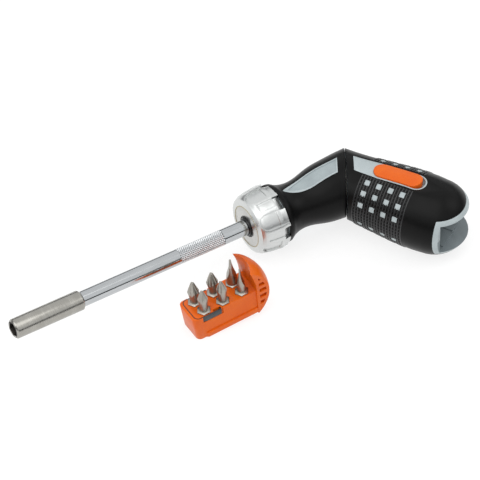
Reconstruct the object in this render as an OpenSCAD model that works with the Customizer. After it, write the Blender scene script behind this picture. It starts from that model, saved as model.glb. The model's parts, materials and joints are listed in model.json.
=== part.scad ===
// Ratcheting screwdriver with a handle that swivels from straight to pistol grip.
// It lies on its side. The origin is the middle of the bit socket's mouth, +X runs
// along the shaft to the handle, and the handle bends towards -Y. The bit cassette
// stands beside the shaft, taken out of the fork at the handle's rear end.

/* [Shaft] */
// Radius of the round shaft
shaft_r = 4; // [3.5:0.1:4.5]
// Radius of the bit holder
holder_r = 5.15; // [4.9:0.05:5.6]
// Length of the bit holder
holder_len = 39; // [34:1:46]
// Width across flats of the bit socket
socket_af = 6.45; // [6.4:0.01:6.5]
// Depth of the bit socket
socket_depth = 12; // [10:0.5:14]
// Where the knurled band starts
knurl_start = 95; // [80:1:100]
// Length of the knurled band
knurl_len = 25.5; // [15:0.5:32]
// Where the collar's front face stands
collar_x = 135.3; // [130:0.1:150]

/* [Ratchet] */
// Teeth on the ratchet gear
gear_teeth = 24; // [24:12:36]
// Radius over the teeth of the ratchet gear
gear_r = 7.5; // [7.3:0.1:7.6]
// Length of the ratchet gear
gear_len = 9.8; // [8:0.1:10]
// Radius of the steel body that holds the ratchet
ratchet_r = 12.42; // [12.3:0.01:12.6]

/* [Selector collar] */
// Length of the collar
collar_len = 16.2; // [15:0.1:18]
// Largest radius of the collar
collar_r = 17; // [16.5:0.1:18]
// Finger pockets round the collar
pocket_count = 6; // [5:1:7]
// Depth of a finger pocket
pocket_depth = 1.1; // [0.6:0.1:1.4]

/* [Handle] */
// Where the handle bends, along the shaft
knee_x = 193.8; // [188:0.1:200]
// Radius of the handle at the bend
knee_r = 16.3; // [15.8:0.1:17]
// Angle of the pistol position
bend = 60; // [50:1:70]
// Largest radius of the rear grip
grip_r = 19.7; // [19.2:0.1:21]
// Length of the rear grip from the bend
grip_len = 69.3; // [67:0.1:74]
// Length of the rounded end of the rear grip
dome_len = 19.3; // [17:0.1:21]
// Thickness of the soft rubber over the hard core
tpe_wall = 1.8; // [1.5:0.1:2]
// Half thickness of the handle at its flat panels
flat_z = 18.7; // [18.4:0.1:19.2]
// Gap between the two halves at the bend
knee_gap = 0.6; // [0.4:0.1:1]

/* [Lock button] */
// Length of the lock button
button_len = 26.4; // [22:0.1:27]
// Width of the lock button
button_w = 9.2; // [8:0.1:9.6]
// How far the lock button slides back
button_travel = 1.5; // [1:0.1:1.8]

/* [Fork] */
// Height of the slot between the two cheeks
slot_h = 17.8; // [17:0.1:19]
// Length of the cheeks, from the slot's bottom to the handle's end
cheek_len = 9.3; // [9:0.1:9.8]
// Width of the bare rim of the core round the slot
rim_w = 2.4; // [2:0.1:3.5]

/* [Bit cassette] */
// Length of the cassette body
cassette_len = 34.4; // [33.6:0.1:35]
// Width of the cassette body
cassette_w = 15.4; // [15:0.1:15.8]
// Height of the cassette body
cassette_h = 14.6; // [14.2:0.1:14.8]
// Thickness of the cassette's rounded head
head_t = 17.4; // [16.5:0.1:17.5]
// Distance between the bits along the cassette
bit_pitch = 10.9; // [10:0.1:11.2]
// Distance between the two rows of bits
row_pitch = 7.4; // [7:0.05:7.45]
// Length of a bit
bit_len = 25; // [24:0.5:26]
// Width across flats of a bit
bit_af = 6.35; // [6.3:0.01:6.38]
// How deep a bit stands in its pocket
bit_seat = 11; // [10:0.5:11.4]

/* [Hidden] */
$fn = 96;
over = 1;
fit = 0.05;
free = 0.3;

steel = "silver";
rubber = "#262626";
core_grey = "#aeb6b8";
orange = "#f26a21";

// Values of the shaft and its ends
holder_chamfer = 0.9;
magnet_r = 2.6;
magnet_len = 3;
magnet_gap = 0.2;
shaft_start = socket_depth + magnet_len + magnet_gap;
knurl_rise = 0.1;
knurl_edge = 0.6;
clip_r = 5.6;
clip_w = 0.9;
clip_groove_r = 3.5;
clip_mouth_share = 0.8;

// Values of the collar's nose and of what lies behind it
cap_r = 10.85;
cap_t = 1;
cap_hub_r = 9;
cap_spigot_len = 1.4;
lip_r = 9.1;
lip_t = 0.7;
bush_r = 5.75;
bush_nose = 0.8;
bush_nose_r = 4.95;
bush_nose_len = 4;
cap_seat = 0.2;
body_x = collar_x + cap_t + lip_t + cap_seat;
gear_x = body_x + cap_spigot_len + free;
chamber_r = gear_r + free;
clip_x = gear_x + gear_len + fit;
chamber_end = clip_x + clip_w + free;
neck_x = collar_x + collar_len + free + fit;
shank_r = 8.9;
shank_len = 10;
tail_share = 0.55;
tail_end = neck_x + shank_len * tail_share;

// Values of the gear and the rocker pawl
tooth_depth = 1.1;
tip_share = 0.24;
root_share = 0.56;
pawl_w = 7;
pawl_x = gear_x + (gear_len - pawl_w) / 2;
pocket_half_w = 7.2;
pocket_base_z = 5.5;
pin_r = 0.9;
pin_z = 9.9;
pin_hold = 1.3;
toe_angle = 30;
toe_bite = 0.25;
toe_r = gear_r - toe_bite;
rocker_back_r = 11.5;
rocker_inner_r = 8.5;
rocker_toe_root_r = 7.95;
rocker_end_r = 9.6;
rocker_back_angle = 24;
rocker_inner_angle = 22;
toe_root_half = 3.4;
toe_tip_half = 0.9;

// Station and radius shares of the collar's outline behind its flat nose
collar_outline_shares = [
    [0.000, 0.700], [0.045, 0.847], [0.167, 0.915], [0.290, 0.941], [0.414, 0.962],
    [0.660, 0.985], [0.790, 1.000], [0.900, 0.976], [1.000, 0.970]
];

// The pattern round the collar: pockets with a shallow step behind, flutes and notches
pocket_turn = -10;
pocket_w = 8.4;
pocket_x = 1.1;
pocket_len = 10;
pocket_step_share = 0.5;
flute_w = 4.7;
flute_x = 3.7;
flute_depth = 0.6;
notch_w = 7.4;
notch_len = 3.7;
notch_r = 13.4;
notch_turn = 4;

// Values of the spring plunger in the collar
plunger_r = 1.2;
plunger_foot_r = 11.8;
plunger_len = 1.8;
plunger_bore_end = 15.2;
plunger_wire_r = 0.18;
plunger_spring_turns = 3;
collar_fit = 0.08;

// Station and radius shares of the neck's outline, from the collar to past the bend
neck_len = knee_x - neck_x;
neck_outline_shares = [
    [0.000, 0.955], [0.048, 0.945], [0.096, 0.868], [0.190, 0.780], [0.311, 0.752],
    [0.431, 0.797], [0.550, 0.877], [0.670, 0.938], [0.813, 0.969], [1.005, 1.000],
    [1.290, 1.018]
];
// Station and radius shares of the rear grip's outline, up to the rounded end
grip_outline_shares = [
    [-0.20, 0.828], [0.00, 0.836], [0.18, 0.862], [0.32, 0.898], [0.48, 0.935],
    [0.64, 0.974], [0.80, 0.996], [0.90, 1.000], [1.00, 0.985]
];
dome_x = grip_len - dome_len;
slot_x = grip_len - cheek_len;
outline_steps = 2;
dome_steps = 12;

// Outline of the bare leaf on the neck: stations from the bend and half widths
leaf_tip = 37.2;
leaf_half_w = 4.5;
leaf_end = 5.1;
leaf_rim = 0.7;
leaf_depth = 0.45;
leaf_point_share = 3;
leaf_outline_shares = [
    [1.00, 0.05], [0.92, 0.38], [0.77, 0.74], [0.58, 0.97], [0.42, 1.00], [0.18, 0.97]
];

// Values of the bare panels on the rear grip
panel_start = 4.4;
panel_end = 44.9;
panel_w = 10.8;
panel_front_w = 9;
panel_taper_x = 20;

// Squares of bare core that show through the rubber
square_w = 2.8;
square_cols = 4;
square_pitch = 6.65;
square_x = 16.6;
square_angles = [30, 49, 69, 111, 131, 150];

// Values of the swivel at the bend
washer_r = 8;
washer_t = 2.4;
bolt_r = 3;
bolt_head_r = 4.5;
bolt_head_t = 3;
bolt_head_depth = 6;
bolt_end_u = 10.4;
swivel_wall_u = 5.2;
disc_spring_t = 1;
disc_spring_r = 4.7;
disc_top_share = 0.8;
nut_af = 8.4;
nut_t = 2.8;
swivel_chamber_r = 5.4;
swivel_chamber_end = 11.2;

// Values of the lock under the button
button_x = 16.1;
button_floor = 16;
button_rise = 0.7;
lock_pin_r = 2;
lock_pin_z = 10.9;
button_gap = 0.15;
lock_socket_depth = 3;
slider_x = 15;
slider_len = 9.3;
slider_w = 8;
slider_base = 9;
slider_top = 14.8;
stem_x = 18.4;
stem_len = 4.5;
stem_w = 5;
spring_space = 7.4;
spring_z = 11.7;
spring_r = 2.3;
spring_wire_r = 0.3;
spring_turns = 6;

// Values of the fork and of the bay for the cassette
cassette_base = 13.3;
cassette_top = cassette_h - cassette_base;
bay_clear = 0.4;
bay_skin = 0.3;
bay_bit_half = 7.4;
rail_h = 3;
rail_out = 0.8;
cassette_corner = 2.6;
end_lean = 5;
end_out = cassette_h * tan(end_lean);
bit_first = 5.9;
row_stagger = 1;
pocket_af = bit_af + 2 * fit;
bit_count = 6;
bit_pocket_depth = bit_seat + fit;
head_slots = 6;
head_slot_pitch = 4.2;
head_slot_w = 2.2;
head_slot_depth = 1.6;
head_slot_drop = 12.5;
head_slot_inset = 1.6;
head_rim = 1.2;
lip_bow_r = 41;
lip_gap = 0.3;
lip_out = 2.6;
lip_room = lip_bow_r - sqrt(pow(lip_bow_r, 2) - pow(grip_r, 2));
dish_r = 14;
dish_x = slot_x - lip_out - sqrt(pow(dish_r, 2) - pow(head_t / 2, 2));

// Values of the spring clip round the cassette's end
clip_t = 0.4;
clip_h = 3.6;
clip_inset = 0.2;
clip_window_x = 5;
clip_window_len = 11.6;
clip_reach = 9.6;
clip_joggle = 1;
clip_bulge = 0.2;
clip_hook = 1.3;
clip_pocket_len = 4.5;

// Values of the bits, and sizes of the four cross points and the two blades
bit_hex_stand = 0.9;
bit_hex_len = bit_seat + bit_hex_stand;
bit_neck_r = 2.1;
bit_chamfer = 0.6;
bit_neck_rise = 2.2;
cross_point_len = 6;
flute_share = 0.36;
flute_lean = 16;
flute_root_share = 0.8;
blade_root_share = 0.6;
blade_neck_share = 0.93;
blade_turn = 30;
// Height and thickness shares of a blade's hollow flank, from the neck to the tip
blade_flank_shares = [
    [0, 1], [0.14, 0.97], [0.3, 0.78], [0.46, 0.44], [0.62, 0.22], [0.8, 0.08], [1, 0]
];
cross_flare_r = 3;
cross_point_r = 0.9;
small_flare_r = 2.6;
small_point_r = 0.7;
wide_blade_w = 6;
wide_blade_t = 1;
small_blade_w = 4.5;
small_blade_t = 0.8;

// Where the cassette stands: its front lower corner, turned and leaning on its head
floor_z = -flat_z;
stand_x = 82.7;
stand_y = -39.3;
stand_heading = -1;
head_drop = outline_r(slot_x) - cassette_base;
stand_lean = atan(head_drop / cassette_len);

// A smooth curve through four neighbouring points
function bend_through(a, b, c, d, t) =
    0.5 * (2 * b + (c - a) * t + (2 * a - 5 * b + 4 * c - d) * t * t
    + (3 * b - a - 3 * c + d) * t * t * t);

// The points with intermediate ones on a smooth curve
function smooth(points, steps) = [
    for (i = [0 : len(points) - 2])
        for (k = [0 : steps - 1])
            bend_through(
                points[max(i - 1, 0)], points[i], points[i + 1],
                points[min(i + 2, len(points) - 1)], k / steps
            ),
    points[len(points) - 1]
];

// Points on an arc about the origin
function arc(r, from, to, steps) = [
    for (i = [0 : steps])
        let (a = from + (to - from) * i / steps)
        r * [sin(a), cos(a)]
];

neck_outline = smooth(
    [for (p = neck_outline_shares) [neck_x + neck_len * p.x, knee_r * p.y]], outline_steps
);
grip_outline = concat(
    smooth([for (p = grip_outline_shares) [dome_x * p.x, grip_r * p.y]], outline_steps),
    [
        for (i = [1 : dome_steps])
            let (a = 90 * i / dome_steps)
            [dome_x + dome_len * sin(a), outline_end_r() * cos(a)]
    ]
);

// Radius of the rear grip where its rounded end starts
function outline_end_r() =
    grip_r * grip_outline_shares[len(grip_outline_shares) - 1].y;

// Radius of the rounded end at a station from the bend
function outline_r(x) =
    outline_end_r() * sqrt(1 - pow((x - dome_x) / dome_len, 2));

// Stations and radii drawn in by an inset
function drawn_in(points, inset) = [for (p = points) [p.x, max(p.y - inset, 0)]];

// The rear grip's stations and radii drawn in, at its rounded end also along the axis
function grip_drawn_in(inset) = [
    for (p = grip_outline)
        [p.x - inset * max(0, (p.x - dome_x) / dome_len), max(p.y - inset, 0)]
];

// A solid turned about the X axis from stations and radii
module turned(points) {
    rotate([0, 90, 0])
        rotate_extrude()
            polygon(concat(
                [[0, points[0].x]],
                [for (p = points) [p.y, p.x]],
                [[0, points[len(points) - 1].x]]
            ));
}

// A rod along the X axis
module rod(x, length, r) {
    translate([x, 0, 0])
        rotate([0, 90, 0])
            cylinder(h = length, r = r);
}

// A box from its lowest corner to its highest
module span(low, high) {
    translate(low)
        cube(high - low);
}

// Places things on the rear grip, whose axis is then X
module on_grip() {
    translate([knee_x, 0, 0])
        rotate([0, 0, -bend])
            children();
}

// Places things on the swivel axis, which is then Z
module on_swivel() {
    translate([knee_x, 0, 0])
        rotate([0, 0, -bend / 2])
            rotate([0, 90, 0])
                children();
}

// The half space on one side of the bend's mating plane
module beyond_swivel(from) {
    reach = 2 * grip_len;
    on_swivel()
        translate([-reach, -reach, from])
            cube(2 * reach);
}

// The half space above or below the bend plane
module half(side) {
    reach = 2 * knee_x;
    translate([-reach, -reach, side > 0 ? 0 : -2 * reach])
        cube(2 * reach);
}

// A coil of round wire along X
module coil(x, length, r, wire_r, turns) {
    sides = 6;
    steps = 12 * turns;
    rings = [
        for (i = [0 : steps])
            let (a = 360 * turns * i / steps)
            [
                for (k = [0 : sides - 1])
                    let (b = 360 * k / sides, out = r - wire_r + wire_r * cos(b))
                    [
                        x + wire_r + (length - 2 * wire_r) * i / steps + wire_r * sin(b),
                        out * cos(a), out * sin(a)
                    ]
            ]
    ];
    polyhedron(
        points = [for (ring = rings) for (p = ring) p],
        faces = concat(
            [[for (k = [0 : sides - 1]) k]],
            [
                for (i = [0 : steps - 1])
                    for (k = [0 : sides - 1])
                        for (half_face = [0, 1])
                            let (n = (k + 1) % sides, a = i * sides, b = a + sides)
                            half_face == 0 ? [a + k, b + k, b + n] : [a + k, b + n, a + n]
            ],
            [[for (k = [0 : sides - 1]) steps * sides + sides - 1 - k]]
        )
    );
}

// Shaft and bit holder

module bit_holder() {
    color(steel)
        difference() {
            turned([
                [0, holder_r - holder_chamfer],
                [holder_chamfer, holder_r],
                [holder_len - holder_chamfer, holder_r],
                [holder_len, holder_r - holder_chamfer]
            ]);
            rotate([0, 90, 0])
                translate([0, 0, -over])
                    cylinder(h = socket_depth + over, d = socket_af / cos(30), $fn = 6);
            rod(socket_depth - over, magnet_len + magnet_gap + over, magnet_r + fit);
            rod(shaft_start - magnet_gap, holder_len, shaft_r);
        }
}

module holder_magnet() {
    color("dimgray")
        rod(socket_depth, magnet_len, magnet_r);
}

module shaft() {
    color(steel)
        difference() {
            turned([
                [shaft_start, shaft_r],
                [knurl_start, shaft_r],
                [knurl_start + knurl_edge, shaft_r + knurl_rise],
                [knurl_start + knurl_len - knurl_edge, shaft_r + knurl_rise],
                [knurl_start + knurl_len, shaft_r],
                [clip_x, shaft_r],
                [clip_x, clip_groove_r],
                [clip_x + clip_w + fit, clip_groove_r],
                [clip_x + clip_w + fit, shaft_r],
                [tail_end - knurl_edge, shaft_r],
                [tail_end, shaft_r - knurl_edge]
            ]);
        }
}

module ratchet_gear() {
    root_r = gear_r - tooth_depth;
    pitch = 360 / gear_teeth;
    color("gray")
        translate([gear_x, 0, 0])
            rotate([0, 90, 0])
                difference() {
                    linear_extrude(gear_len)
                        polygon([
                            for (i = [0 : gear_teeth - 1])
                                for (p = [
                                    [-root_share, root_r], [-tip_share, gear_r],
                                    [tip_share, gear_r], [root_share, root_r]
                                ])
                                    let (a = pitch * (i + 0.5 + p.x / 2))
                                    p.y * [cos(a), sin(a)]
                        ]);
                    translate([0, 0, -over])
                        cylinder(h = gear_len + 2 * over, r = shaft_r);
                }
}

module shaft_clip() {
    color("dimgray")
        difference() {
            rod(clip_x, clip_w, clip_r);
            rod(clip_x - over, clip_w + 2 * over, clip_groove_r);
            span(
                [clip_x - over, -clip_groove_r * clip_mouth_share, -clip_r - over],
                [clip_x + clip_w + over, clip_groove_r * clip_mouth_share, 0]
            );
        }
}

// Selector collar

// The collar's outline, drawn in by an inset
function collar_outline(inset) = [
    for (p = collar_outline_shares)
        [collar_x + collar_len * p.x, collar_r * p.y - inset]
];

// A pocket's outline from above, with a rounded front end
module pocket_plan(reach) {
    r = pocket_w / 2;
    translate([collar_x + pocket_x + r, 0])
        polygon(concat(
            [for (p = arc(r, 0, -180, 10)) p],
            [[reach - r, -r], [reach - r, r]]
        ));
}

// What a cut of one depth takes out of the collar, where its children's outline is
module collar_cut(depth) {
    intersection() {
        difference() {
            rod(collar_x - over, collar_len + 2 * over, collar_r + over);
            turned(concat(
                [[collar_x - 2 * over, collar_outline(depth)[0].y]],
                collar_outline(depth),
                [[collar_x + collar_len + 2 * over, collar_outline(depth)[0].y]]
            ));
        }
        linear_extrude(collar_r + 2 * over)
            children();
    }
}

module selector_collar() {
    pitch = 360 / pocket_count;
    rear_x = collar_x + collar_len;
    color("lightgray")
        difference() {
            turned(collar_outline(0));
            rod(collar_x - over, cap_t + fit + over, cap_r + fit);
            rod(collar_x, collar_len, lip_r);
            rod(body_x - fit, collar_len, ratchet_r + collar_fit);
            for (i = [0 : pocket_count - 1])
                rotate([pitch * i + pocket_turn, 0, 0]) {
                    collar_cut(pocket_depth)
                        pocket_plan(pocket_len);
                    collar_cut(pocket_depth * pocket_step_share)
                        pocket_plan(collar_len);
                    rotate([pitch / 2, 0, 0])
                        collar_cut(flute_depth)
                            translate([collar_x + flute_x, -flute_w / 2])
                                square([collar_len, flute_w]);
                    rotate([pitch / 2 + notch_turn, 0, 0])
                        translate([rear_x - notch_len, -notch_w / 2, notch_r])
                            cube([notch_len + over, notch_w, collar_r]);
                }
            rod_up(plunger_r + fit, ratchet_r, plunger_bore_end);
        }
}

// A rod along Z through the middle of the pawl
module rod_up(r, from, to) {
    translate([pawl_x + pawl_w / 2, 0, from])
        cylinder(h = to - from, r = r, $fn = 48);
}

module selector_plunger() {
    color("gray")
        rod_up(plunger_r, plunger_foot_r, plunger_foot_r + plunger_len);
}

module selector_spring() {
    foot = plunger_foot_r + plunger_len + fit;
    color("dimgray")
        translate([pawl_x + pawl_w / 2, 0, 0])
            rotate([0, -90, 0])
                coil(
                    foot, plunger_bore_end - fit - foot, plunger_r - fit,
                    plunger_wire_r, plunger_spring_turns
                );
}

module collar_cap() {
    color(steel)
        difference() {
            union() {
                rod(collar_x, cap_t, cap_r);
                rod(collar_x, body_x - collar_x, cap_hub_r);
                rod(collar_x, body_x + cap_spigot_len - collar_x, chamber_r);
            }
            rod(collar_x - over, collar_len, bush_r);
        }
}

module shaft_bush() {
    color(rubber)
        difference() {
            union() {
                rod(collar_x, body_x + cap_spigot_len - collar_x, bush_r);
                rod(collar_x - bush_nose, bush_nose_len, bush_nose_r);
            }
            rod(collar_x - collar_len, 2 * collar_len, shaft_r + fit);
        }
}

module ratchet_body() {
    color("gray")
        difference() {
            union() {
                rod(body_x, neck_x - body_x, ratchet_r);
                rod(neck_x - over, shank_len + over, shank_r);
            }
            rod(body_x - over, chamber_end - body_x + over, chamber_r);
            rod(body_x, tail_end - body_x + free, shaft_r + fit);
            span(
                [pawl_x - free, -pocket_half_w, pocket_base_z],
                [pawl_x + pawl_w + free, pocket_half_w, ratchet_r + over]
            );
            pawl_axis(free + pin_hold + fit)
                circle(r = pin_r);
        }
}

// Extrudes a shape along the rocker pawl's axis, past both sides of the pawl
module pawl_axis(past) {
    translate([pawl_x - past, 0, pin_z])
        rotate([90, 0, 90])
            linear_extrude(pawl_w + 2 * past)
                children();
}

module pawl_pin() {
    color(steel)
        pawl_axis(free + pin_hold)
            circle(r = pin_r);
}

// Half of the rocker's outline from the middle of its back to the middle of its belly
function rocker_side() = concat(
    arc(rocker_back_r, 0, rocker_back_angle, 4),
    [
        for (p = [
            [rocker_end_r, toe_angle + toe_root_half],
            [rocker_toe_root_r, toe_angle + toe_root_half],
            [toe_r, toe_angle + toe_tip_half],
            [toe_r, toe_angle - toe_tip_half],
            [rocker_toe_root_r, toe_angle - toe_root_half]
        ])
            p.x * [sin(p.y), cos(p.y)]
    ],
    arc(rocker_inner_r, rocker_inner_angle, 0, 4)
);

module rocker_pawl() {
    side = rocker_side();
    other = [for (i = [len(side) - 1 : -1 : 0]) [-side[i].x, side[i].y]];
    color("dimgray")
        difference() {
            pawl_axis(0)
                translate([0, -pin_z])
                    polygon(concat(side, other));
            pawl_axis(over)
                circle(r = pin_r + fit);
        }
}

// Neck

// The leaf's outline, drawn in by an inset
module leaf(inset) {
    end_x = leaf_end + inset;
    run = leaf_tip - leaf_point_share * inset - end_x;
    side = [
        for (p = smooth(leaf_outline_shares, outline_steps))
            [-end_x - run * p.x, max(leaf_half_w * p.y - inset, 0)]
    ];
    end_half = side[len(side) - 1].y;
    slant = tan(bend / 2) * end_half;
    translate([knee_x, 0])
        polygon(concat(
            side,
            [[-end_x + slant, end_half], [-end_x - slant, -end_half]],
            [for (i = [len(side) - 1 : -1 : 0]) [side[i].x, -side[i].y]]
        ));
}

// What of the neck is bare core and not rubber
module neck_bare() {
    linear_extrude(knee_r + over)
        leaf(0);
    mirror([0, 0, 1])
        linear_extrude(knee_r + over)
            leaf(0);
}

// The recessed field inside the leaf's rim, which follows the neck's surface
module leaf_fields() {
    intersection() {
        difference() {
            turned(drawn_in(neck_outline, -over));
            turned(drawn_in(neck_outline, leaf_depth));
        }
        union() {
            linear_extrude(knee_r + 2 * over)
                leaf(leaf_rim);
            mirror([0, 0, 1])
                linear_extrude(knee_r + 2 * over)
                    leaf(leaf_rim);
        }
    }
}

module neck_core(side) {
    color(core_grey)
        difference() {
            intersection() {
                union() {
                    turned(drawn_in(neck_outline, tpe_wall));
                    intersection() {
                        turned(neck_outline);
                        neck_bare();
                    }
                }
                half(side);
            }
            leaf_fields();
            beyond_swivel(-knee_gap / 2);
            rod(neck_x - over, shank_len + free + over, shank_r);
            on_swivel() {
                translate([0, 0, -washer_t / 2])
                    cylinder(h = washer_t, r = washer_r);
                translate([0, 0, -bolt_head_depth - over])
                    cylinder(h = bolt_head_depth + over, r = bolt_r);
                translate([0, 0, -bolt_head_depth - bolt_head_t - free])
                    cylinder(h = bolt_head_t + free, r = bolt_head_r);
            }
            // Sockets for the lock in the pistol and in the straight position
            lock_socket(-bend, lock_pin_z);
            lock_socket(0, -lock_pin_z);
        }
}

// A socket in the neck for the lock's pin, which comes from the heading given
module lock_socket(heading, z) {
    translate([knee_x, 0, z])
        rotate([0, 0, heading])
            rod(-lock_socket_depth, 2 * lock_socket_depth, lock_pin_r + fit);
}

module neck_core_upper() {
    neck_core(1);
}

module neck_core_lower() {
    neck_core(-1);
}

module neck_sleeve() {
    color(rubber)
        difference() {
            turned(neck_outline);
            turned(drawn_in(concat(
                [[neck_x - over, neck_outline[0].y]], neck_outline,
                [[knee_x + neck_len, knee_r]]
            ), tpe_wall));
            neck_bare();
            beyond_swivel(-knee_gap / 2);
        }
}

// Swivel

module swivel_bolt() {
    color(steel)
        on_swivel() {
            translate([0, 0, -bolt_head_depth])
                cylinder(h = bolt_end_u + bolt_head_depth, r = bolt_r);
            translate([0, 0, -bolt_head_depth - bolt_head_t])
                cylinder(h = bolt_head_t, r = bolt_head_r);
        }
}

module swivel_washer() {
    color("ivory")
        on_swivel()
            translate([0, 0, -washer_t / 2])
                difference() {
                    cylinder(h = washer_t, r = washer_r);
                    translate([0, 0, -over])
                        cylinder(h = washer_t + 2 * over, r = bolt_r);
                }
}

module disc_spring() {
    color("dimgray")
        on_swivel()
            translate([0, 0, swivel_wall_u + fit])
                difference() {
                    cylinder(h = disc_spring_t, r1 = disc_spring_r, r2 = disc_spring_r * disc_top_share);
                    translate([0, 0, -over])
                        cylinder(h = disc_spring_t + 2 * over, r = bolt_r);
                }
}

module swivel_nut() {
    color(steel)
        on_swivel()
            translate([0, 0, swivel_wall_u + fit + disc_spring_t])
                difference() {
                    cylinder(h = nut_t, d = nut_af / cos(30), $fn = 6);
                    translate([0, 0, -over])
                        cylinder(h = nut_t + 2 * over, r = bolt_r);
                }
}

// Rear grip

// The panel's outline, with a slanted front edge beside the bend
module panel() {
    slant = tan(bend / 2);
    end_r = panel_w / 2;
    front = panel_front_w / 2;
    polygon([
        [panel_start - slant * front, front],
        [panel_taper_x, end_r],
        [panel_end - end_r, end_r],
        [panel_end - end_r, -end_r],
        [panel_taper_x, -end_r],
        [panel_start + slant * front, -front]
    ]);
    translate([panel_end - end_r, 0])
        circle(r = end_r);
}

// A slot outline with round ends
module stadium(x, length, w) {
    translate([x + w / 2, -w / 2])
        square([length - w, w]);
    for (end = [x + w / 2, x + length - w / 2])
        translate([end, 0])
            circle(d = w);
}

// The rear grip's outer form, flattened at its two panels
module grip_form(inset) {
    intersection() {
        turned(grip_drawn_in(inset));
        span([-grip_len, -grip_len, -flat_z], [2 * grip_len, grip_len, flat_z]);
    }
}

// The squares that show through the rubber, as radial pegs
module squares(side) {
    for (a = square_angles)
        for (turn = [a, -a])
            if (side == 0 || side * cos(turn) > 0)
                for (col = [0 : square_cols - 1])
                    rotate([turn, 0, 0])
                        translate([
                            square_x + col * square_pitch - square_w / 2,
                            -square_w / 2,
                            grip_r / 2
                        ])
                            cube([square_w, square_w, grip_r]);
}

// The space round the slot where the core is bare
module rim_space() {
    half = slot_h / 2 + rim_w;
    span([slot_x - rim_w, -grip_len, -half], [2 * grip_len, grip_len, half]);
    span([slot_x - lip_out - rim_w, 0, -half], [2 * grip_len, grip_len, half]);
}

// What of the rear grip is bare core and not rubber, on one side or both
module grip_bare(side) {
    squares(side);
    rim_space();
    linear_extrude(grip_r + over)
        panel();
    mirror([0, 0, 1])
        linear_extrude(grip_r + over)
            panel();
}

// The bay and the slot, which the cassette fills
module cassette_space() {
    half = cassette_w / 2 + bay_clear / 2;
    start = slot_x - cassette_len - end_out - bay_clear;
    low = -cassette_base - bay_clear;
    tips = cassette_top + bit_len - bit_seat + bay_clear;
    span(
        [start, low, -half - rail_out],
        [slot_x + over, low + rail_h + 2 * bay_clear, half + rail_out]
    );
    span([start, low, -half], [slot_x + over, cassette_top + bay_clear, half]);
    intersection() {
        turned(grip_drawn_in(tpe_wall + bay_skin));
        span([start, 0, -bay_bit_half], [slot_x + over, tips, bay_bit_half]);
    }
    span([slot_x, -grip_len, -slot_h / 2], [2 * grip_len, grip_len, slot_h / 2]);
    difference() {
        span(
            [slot_x - lip_room, cassette_top, -slot_h / 2],
            [slot_x + over, grip_len, slot_h / 2]
        );
        translate([slot_x - lip_bow_r, cassette_top, -slot_h])
            cylinder(h = 2 * slot_h, r = lip_bow_r - bay_clear);
    }
}

// The space for the lock and its spring
module lock_space() {
    wide = slider_w / 2 + free;
    span(
        [slider_x - free, -wide, slider_base - free],
        [slider_x + slider_len + spring_space, wide, slider_top + free]
    );
    span(
        [stem_x - free, -stem_w / 2 - fit, slider_top],
        [stem_x + stem_len + button_travel + free, stem_w / 2 + fit, button_floor + over]
    );
    translate([0, 0, lock_pin_z])
        rod(-grip_r, grip_r + slider_x, lock_pin_r + fit);
    translate([0, 0, button_floor])
        linear_extrude(grip_r)
            stadium(
                button_x - button_gap, button_len + button_travel + 2 * button_gap,
                button_w + 2 * button_gap
            );
}

module grip_core(side) {
    color(core_grey)
        difference() {
            on_grip()
                difference() {
                    intersection() {
                        union() {
                            grip_form(tpe_wall);
                            intersection() {
                                grip_form(0);
                                grip_bare(side);
                            }
                        }
                        half(side);
                    }
                    cassette_space();
                    lock_space();
                }
            before_swivel(knee_gap / 2);
            on_swivel() {
                translate([0, 0, -over])
                    cylinder(h = washer_t / 2 + fit + over, r = washer_r + free);
                cylinder(h = swivel_wall_u + over, r = bolt_r + fit);
                translate([0, 0, swivel_wall_u])
                    cylinder(h = swivel_chamber_end - swivel_wall_u, r = swivel_chamber_r);
            }
        }
}

// The half space on the neck's side of the bend's mating plane
module before_swivel(to) {
    reach = 2 * grip_len;
    on_swivel()
        translate([-reach, -reach, to - 2 * reach])
            cube(2 * reach);
}

module grip_core_upper() {
    grip_core(1);
}

module grip_core_lower() {
    grip_core(-1);
}

module grip_sleeve() {
    color(rubber)
        difference() {
            on_grip()
                difference() {
                    grip_form(0);
                    grip_form(tpe_wall);
                    grip_bare(0);
                }
            before_swivel(knee_gap / 2);
        }
}

// Lock

module lock_button() {
    color(orange)
        on_grip() {
            intersection() {
                translate([0, 0, button_floor + fit])
                    linear_extrude(grip_r)
                        stadium(button_x, button_len, button_w);
                turned(grip_drawn_in(-button_rise));
            }
        }
}

module lock_slider() {
    color("dimgray")
        difference() {
            on_grip() {
                span(
                    [slider_x, -slider_w / 2, slider_base],
                    [slider_x + slider_len, slider_w / 2, slider_top]
                );
                span(
                    [stem_x, -stem_w / 2, slider_top - over],
                    [stem_x + stem_len, stem_w / 2, button_floor + fit]
                );
                translate([0, 0, lock_pin_z])
                    rod(-grip_r, grip_r + slider_x + over, lock_pin_r);
            }
            before_swivel(knee_gap / 2 + fit);
        }
}

module lock_spring() {
    color(steel)
        on_grip()
            translate([0, 0, spring_z])
                coil(
                    slider_x + slider_len + fit, spring_space - 2 * fit,
                    spring_r, spring_wire_r, spring_turns
                );
}

// Bit cassette, drawn as it sits in the handle: its length is X and its top faces +Y

// Stands the cassette on the floor beside the shaft
module standing() {
    translate([stand_x, stand_y, floor_z])
        rotate([0, 0, stand_heading])
            rotate([0, -stand_lean, 0])
                rotate([90, 0, 0])
                    translate([cassette_len - slot_x, cassette_base, -cassette_w / 2])
                        children();
}

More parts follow.
